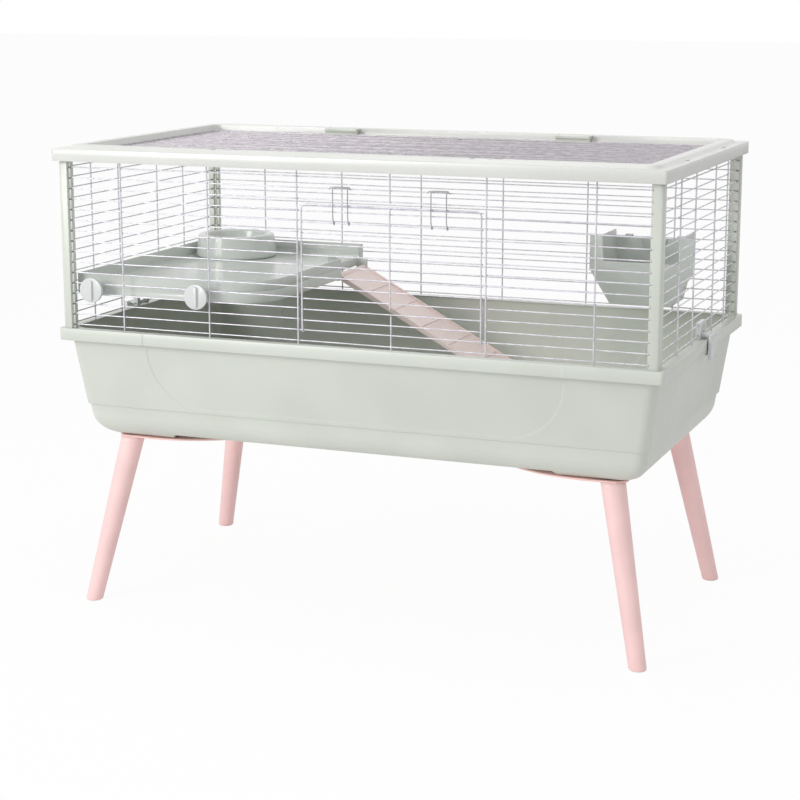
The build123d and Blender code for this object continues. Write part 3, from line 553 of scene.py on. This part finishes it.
door = {
    "left": -0.0722, "right": 0.2182, "top": 0.6790, "hinge": 0.4849, "bend": 0.008,
    "frontY": -0.2605, "rowY": -0.25865, "rowDrop": 0.0015, "topRowDrop": 0.0024, "overhang": 0.0020,
    "eye": 0.0025, "eyeWire": 0.0014, "centreLow": 0.5260, "bow": 0.0001, "nuggetOut": 0.0009,
}


# A circle in the YZ plane carried as a closed tube.
def ringAroundX(x, y, z, centreRadius, radius, sides=8, steps=20):
    turn = np.linspace(0, 2 * np.pi, steps, endpoint=False)
    path = np.stack([np.full(steps, x), y + centreRadius * np.cos(turn), z + centreRadius * np.sin(turn)], -1)
    return carryTube(path, radius, sides, closed=True)


def frontDoor():
    d, w = door, wires
    loop = roundedPath([
        (d["left"], d["frontY"], d["hinge"]),
        (d["left"], d["frontY"], d["top"]),
        (d["right"], d["frontY"], d["top"]),
        (d["right"], d["frontY"], d["hinge"]),
    ], d["bend"], 9, 24)
    parts = [carryTube(loop, w["uprightRadius"], w["uprightSides"])]
    for x in (d["left"], d["right"]):
        parts.append(ringAroundX(x, -w["halfDepth"], d["hinge"], d["eye"], d["eyeWire"]))
    rows = np.append(rowHeights[4:15] - d["rowDrop"], d["top"] - d["topRowDrop"])
    for number, z in enumerate(rows):
        start = (d["left"] - d["overhang"], d["rowY"], z)
        end = (d["right"] + d["overhang"], d["rowY"], z)
        parts.append(straightWire(start, end, w["rowRadius"], w["rowSides"], d["bow"], 800 + number))
    foot = (middle, d["frontY"], d["centreLow"])
    head = (middle, d["frontY"], d["top"])
    parts.append(straightWire(foot, head, w["uprightRadius"], w["uprightSides"], d["bow"], 830, 20))
    crossings = [(x, z) for z in rows[:-1] for x in (d["left"], d["right"], middle)]
    joined = [(x, z) for x, z in crossings if x != middle or z > d["centreLow"]]
    parts.append(weldNuggets([(x, d["rowY"] - d["nuggetOut"], z) for x, z in joined], w["nugget"]))
    return settle(meshPiece("wire_door", *gather(parts)), "front_door", wire)


frontDoor()

latch = {
    "spacing": 0.1583, "width": 0.0245, "pivot": 0.6519, "wire": 0.0009, "eye": 0.0020, "corner": 0.0016,
    "legY": -0.26365, "footY": -0.26065, "bend": 0.009, "top": 0.70615, "backY": -0.2550,
    "ear": 0.0055, "earDrop": 0.0022, "earRise": 0.0004, "tipOut": 0.0002, "earOut": 0.0006, "earCorner": 0.002,
    "nugget": (0.0017, 0.0015, 0.0015),
}


def doorLatch(sideName, side):
    k = latch
    x = middle + side * k["spacing"] / 2
    half = k["width"] / 2
    bail = roundedPath([
        (x - half, k["footY"], k["pivot"]),
        (x - half, k["legY"], k["pivot"] + k["bend"]),
        (x - half, k["legY"], k["top"]),
        (x - half, k["backY"], k["top"]),
        (x + half, k["backY"], k["top"]),
        (x + half, k["legY"], k["top"]),
        (x + half, k["legY"], k["pivot"] + k["bend"]),
        (x + half, k["footY"], k["pivot"]),
    ], k["corner"], 6, 6)
    tipY, earY = k["legY"] - k["tipOut"], k["legY"] - k["earOut"]
    tipZ, earZ = k["top"] - k["earDrop"], k["top"] + k["earRise"]
    ear = roundedPath([
        (x - half - k["ear"], tipY, tipZ),
        (x - half - k["ear"] * 0.5, earY, earZ),
        (x + half + k["ear"] * 0.5, earY, earZ),
        (x + half + k["ear"], tipY, tipZ),
    ], k["earCorner"], 6, 10)
    parts = [carryTube(bail, k["wire"]), carryTube(ear, k["wire"])]
    parts += [ringAroundX(spot, door["rowY"], k["pivot"], k["eye"], k["wire"]) for spot in (x - half, x + half)]
    parts.append(weldNuggets([(x - half, k["legY"], k["top"]), (x + half, k["legY"], k["top"])], k["nugget"]))
    return settle(meshPiece("wire_latch_" + sideName, *gather(parts)), "door_latch_" + sideName, shadedWire)


doorLatch("left", -1)
doorLatch("right", 1)
print("door and latches built")


lid = {
    "halfLength": 0.4605, "front": -0.2304, "back": 0.2220, "z": 0.7450, "edge": 0.0015, "corner": 0.009,
    "rows": 26, "rowBow": 0.0005, "across": (-0.2990, -0.1405, 0.0128, 0.1688, 0.3029), "acrossBow": 0.0003,
    "overhang": 0.0014, "drop": 0.00185, "nugget": (0.0019, 0.0019, 0.0012), "nuggetDrop": 0.0009,
}


def roofLid():
    r, w = lid, wires
    x, z = r["halfLength"], r["z"]
    loop = roundedPath([
        (0, r["front"], z), (x, r["front"], z), (x, r["back"], z),
        (-x, r["back"], z), (-x, r["front"], z), (0, r["front"], z),
    ], r["corner"], 9, 30)[:-1]
    parts = [carryTube(loop, r["edge"], closed=True)]
    pitch = (r["back"] - r["front"]) / (r["rows"] + 1)
    rows = r["front"] + pitch * np.arange(1, r["rows"] + 1)
    for number, y in enumerate(rows):
        parts.append(straightWire((-x, y, z), (x, y, z), w["rowRadius"], w["rowSides"], r["rowBow"], 900 + number))
    for number, spot in enumerate(r["across"]):
        start = (spot, r["front"] - r["overhang"], z - r["drop"])
        end = (spot, r["back"], z - r["drop"])
        parts.append(straightWire(
            start, end, w["uprightRadius"], w["uprightSides"], r["acrossBow"], 960 + number, w["uprightSteps"],
        ))
    parts.append(weldNuggets([(spot, y, z - r["nuggetDrop"]) for spot in r["across"] for y in rows], r["nugget"]))
    # the roof wires take the darker coat, painted shade
    return settle(meshPiece("wire_lid", *gather(parts)), "roof_lid", shadedWire)


roofLid()
print("roof lid built")


leg = {
    "topX": 0.4090, "topY": 0.1980, "footX": 0.4665, "footY": 0.2440, "height": 0.2766,
    "topRadius": 0.0190, "footRadius": 0.0135, "round": 0.0030, "roundRings": 8, "sides": 48, "rings": 40,
}


# A turned leg on a slanted axis, cut level at both ends. At height z the centre runs straight from foot
# to top; the section is an ellipse, stretched along the lean by 1 / cos(lean), and the foot's edge is
# rounded by radius - round + sqrt(round^2 - (round - z)^2) over the lowest few millimetres.
def turnedLeg(name, sideX, sideY):
    g = leg
    footRise = g["round"] * (1 - np.cos(np.linspace(0, np.pi / 2, g["roundRings"])))
    rise = np.concatenate([footRise, np.linspace(g["round"], g["height"], g["rings"])[1:]])
    share = rise / g["height"]
    foot = np.array([sideX * g["footX"], sideY * g["footY"]])
    lean = np.array([sideX * g["topX"], sideY * g["topY"]]) - foot
    tilt = np.arctan2(np.linalg.norm(lean), g["height"])
    out = lean / np.linalg.norm(lean)
    side = np.array([-out[1], out[0]])
    radius = g["footRadius"] + (g["topRadius"] - g["footRadius"]) * share
    under = np.clip(g["round"] - rise, 0, None)
    radius = radius - g["round"] + np.sqrt(g["round"] ** 2 - under ** 2)
    turn = np.linspace(0, 2 * np.pi, g["sides"], endpoint=False)
    alongLean = np.cos(turn)[None, :, None] * out[None, None, :] / np.cos(tilt)
    acrossLean = np.sin(turn)[None, :, None] * side[None, None, :]
    flat = radius[:, None, None] * (alongLean + acrossLean)
    centre = foot[None, :] + lean[None, :] * share[:, None]
    level = np.broadcast_to(rise[:, None, None], flat.shape[:2] + (1,))
    grid = np.concatenate([centre[:, None, :] + flat, level], -1)
    piece = meshPiece("turned_leg_" + name, grid.reshape(-1, 3), cappedFaces(*grid.shape[:2]))
    return settle(piece, "leg_" + name, legWood)


for endName, sideY in (("front", -1), ("back", 1)):
    for sideName, sideX in (("left", -1), ("right", 1)):
        turnedLeg(endName + "_" + sideName, sideX, sideY)
print("legs turned")


bowl = {
    "x": -0.3950, "y": 0.1670, "floor": 0.5290, "base": 0.0725, "rim": 0.0670, "mouth": 0.0530, "well": 0.0460,
    "height": 0.0400, "wellFloor": 0.0060, "round": 0.0045, "axisGap": 0.0002, "sides": 96,
}


# A bowl turned round its own axis: the profile below is walked as radius and height, its corners rounded.
def turnedBowl():
    b = bowl
    profile = roundedPath([
        (b["axisGap"], 0, 0), (b["base"], 0, 0), (b["rim"], 0, b["height"]), (b["mouth"], 0, b["height"]),
        (b["well"], 0, b["wellFloor"]), (b["axisGap"], 0, b["wellFloor"]),
    ], b["round"], 9, 7)
    turn = np.linspace(0, 2 * np.pi, b["sides"], endpoint=False)
    grid = np.stack([
        b["x"] + np.outer(profile[:, 0], np.cos(turn)),
        b["y"] + np.outer(profile[:, 0], np.sin(turn)),
        b["floor"] + np.outer(profile[:, 2], np.ones(b["sides"])),
    ], -1)
    piece = meshPiece("turned_bowl", grid.reshape(-1, 3), cappedFaces(*grid.shape[:2]))
    return settle(piece, "food_bowl", fitting)


turnedBowl()
for sideName in ("left", "right"):
    easedCopy("platform_knob_" + sideName, pale, 0.0005)
print("bowl and knobs done")


studio = {
    "white": (1.0, 1.0, 1.0, 1.0), "worldLight": 0.64,
    "floorMatt": (0.9, 0.9, 0.9, 1.0), "floorWhite": 0.94, "floorHalf": 30.0, "floorDrop": 0.0004,
    "aim": (0, 0, 0.5),
}
lamps = {
    "key softbox": {"power": 70.0, "place": (-2.2, -3.3, 1.9), "wide": 1.4, "tall": 1.3},
    "fill softbox": {"power": 1.0, "place": (2.6, -1.8, 1.6), "wide": 1.0, "tall": 1.5},
    "top softbox": {"power": 13.0, "place": (0.2, -0.2, 2.6), "wide": 1.8, "tall": 1.0},
}


# White where the camera, a reflection or a see-through ray meets it, and a plainer level as a light.
def studioWorld():
    m = Finish("white studio", "worlds")
    plain = m.add("ShaderNodeBackground", {}, {0: studio["white"], 1: studio["worldLight"]})
    seen = m.add("ShaderNodeBackground", {}, {0: studio["white"], 1: 1.0})
    camera = m.add("ShaderNodeLightPath", out="Is Camera Ray")
    glossy = m.add("ShaderNodeLightPath", out="Is Glossy Ray")
    through = m.add("ShaderNodeLightPath", out="Is Transmission Ray")
    direct = camera.calc("MAXIMUM", glossy).calc("MAXIMUM", through)
    mixed = m.add("ShaderNodeMixShader", {}, {0: direct, 1: plain, 2: seen})
    m.add("ShaderNodeOutputWorld", {}, {0: mixed})
    bpy.context.scene.world = m.material


# Nearly white to the camera, and still matt enough to keep the cage's shadow.
def studioFloor():
    half, z = studio["floorHalf"], -studio["floorDrop"]
    corners = np.array([[-half, -half, z], [half, -half, z], [half, half, z], [-half, half, z]])
    floor = meshPiece("studio_floor", corners, np.array([[0, 1, 2, 3]]), False)
    m = Finish("white floor")
    matt = m.add("ShaderNodeBsdfDiffuse", {}, {"Color": studio["floorMatt"]})
    glow = m.add("ShaderNodeEmission", {}, {"Color": studio["white"], "Strength": 1.0})
    seen = m.add("ShaderNodeLightPath", out="Is Camera Ray")
    mixed = m.add("ShaderNodeMixShader", {}, {0: seen * studio["floorWhite"], 1: matt, 2: glow})
    m.add("ShaderNodeOutputMaterial", {}, {"Surface": mixed})
    floor.data.materials.append(m.material)


def softLamp(name, look):
    light = bpy.data.lights.new(name, "AREA")
    light.shape = "RECTANGLE"
    light.size = look["wide"]
    light.size_y = look["wide"] * look["tall"]
    light.energy = look["power"]
    lamp = bpy.data.objects.new(name, light)
    lamp.location = look["place"]
    toward = Vector(studio["aim"]) - Vector(look["place"])
    lamp.rotation_euler = toward.to_track_quat("-Z", "Y").to_euler()
    bpy.context.scene.collection.objects.link(lamp)


studioWorld()
studioFloor()
for lampName, look in lamps.items():
    softLamp(lampName, look)
print("studio lit")

view = {
    "lens": 87.437, "sensor": 36.0, "place": (1.1534, -2.9437, 1.0112), "yaw": 21.627, "pitch": 12.194,
    "near": 0.05, "far": 100.0,
}
lensData = bpy.data.cameras.new("product camera")
lensData.lens = view["lens"]
lensData.sensor_width = view["sensor"]
lensData.sensor_fit = "HORIZONTAL"
lensData.clip_start = view["near"]
lensData.clip_end = view["far"]
camera = bpy.data.objects.new("product camera", lensData)
camera.location = view["place"]
camera.rotation_euler = Euler((math.radians(90 - view["pitch"]), 0, math.radians(view["yaw"])), "XYZ")
bpy.context.scene.collection.objects.link(camera)
bpy.context.scene.camera = camera
bpy.context.scene.view_settings.view_transform = "Standard"
